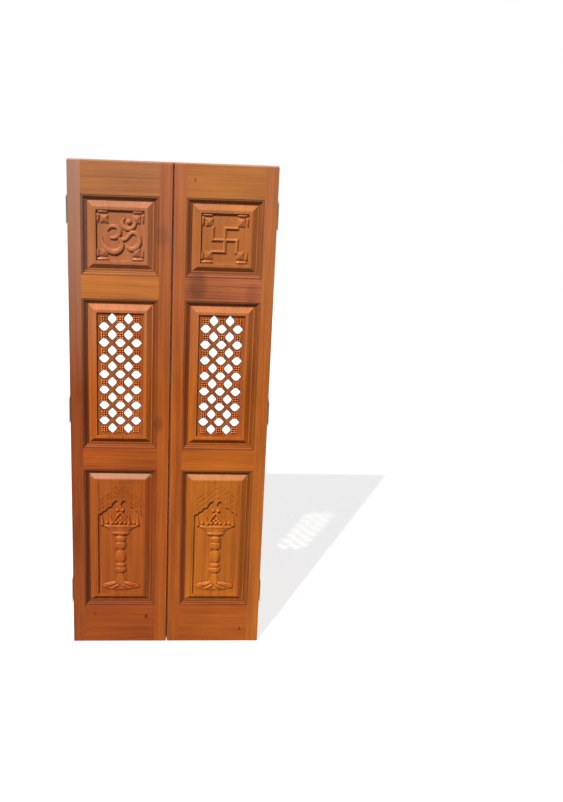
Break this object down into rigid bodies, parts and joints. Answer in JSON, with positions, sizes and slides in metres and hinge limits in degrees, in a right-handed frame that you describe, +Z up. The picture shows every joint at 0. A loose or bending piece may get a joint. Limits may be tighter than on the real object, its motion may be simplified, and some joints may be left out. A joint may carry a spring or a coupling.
{
  "type": "carved temple door",
  "caption": "Narrow carved wooden temple door in leaves with raised panels, pierced lattices and standing oil lamps, hung on butt hinges.",
  "frame": {"origin": "on the floor line of the leaves, midway between the two hinge lines, at the middle of the closed pair's depth with its hinge knuckles", "axes": "+X to the right across the pair, -Y out of the carved front faces, +Z up"},
  "size_m": [0.776, 0.0493, 1.981],
  "materials": {
    "teak_upright": "oiled and polished, grain upright",
    "teak_level": "oiled and polished, grain level",
    "hinge_steel": "satin"
  },
  "bodies": {
    "hinge_frame_plates": {"left_bottom_hinge_frame_plate": "hinge_steel", "left_bottom_hinge_pin": "hinge_steel", "left_middle_hinge_frame_plate": "hinge_steel", "left_middle_hinge_pin": "hinge_steel", "left_top_hinge_frame_plate": "hinge_steel", "left_top_hinge_pin": "hinge_steel", "right_bottom_hinge_frame_plate": "hinge_steel", "right_bottom_hinge_pin": "hinge_steel", "right_middle_hinge_frame_plate": "hinge_steel", "right_middle_hinge_pin": "hinge_steel", "right_top_hinge_frame_plate": "hinge_steel", "right_top_hinge_pin": "hinge_steel"},
    "left_leaf": {"left_hinge_stile": "teak_upright", "left_meeting_stile": "teak_upright", "left_lamp_panel": "teak_upright", "left_lattice_frame": "teak_upright", "left_lattice": "teak_upright", "om_panel": "teak_upright", "left_bottom_rail": "teak_level", "left_lock_rail": "teak_level", "left_frieze_rail": "teak_level", "left_top_rail": "teak_level", "left_bottom_hinge_leaf_plate": "hinge_steel", "left_middle_hinge_leaf_plate": "hinge_steel", "left_top_hinge_leaf_plate": "hinge_steel", "left_hinge_screws": "hinge_steel"},
    "right_leaf": {"right_hinge_stile": "teak_upright", "right_meeting_stile": "teak_upright", "right_lamp_panel": "teak_upright", "right_lattice_frame": "teak_upright", "right_lattice": "teak_upright", "swastika_panel": "teak_upright", "right_bottom_rail": "teak_level", "right_lock_rail": "teak_level", "right_frieze_rail": "teak_level", "right_top_rail": "teak_level", "right_bottom_hinge_leaf_plate": "hinge_steel", "right_middle_hinge_leaf_plate": "hinge_steel", "right_top_hinge_leaf_plate": "hinge_steel", "right_hinge_screws": "hinge_steel"}
  },
  "joints": [
    {"name": "left_leaf_hinge", "type": "hinge", "parent": "hinge_frame_plates", "child": "left_leaf", "pos_m": [-0.3825, 0.01915, 0], "axis": [0, 0, 1], "range_deg": [0, 110]},
    {"name": "right_leaf_hinge", "type": "hinge", "parent": "hinge_frame_plates", "child": "right_leaf", "pos_m": [0.3825, 0.01915, 0], "axis": [0, 0, -1], "range_deg": [0, 110]}
  ]
}
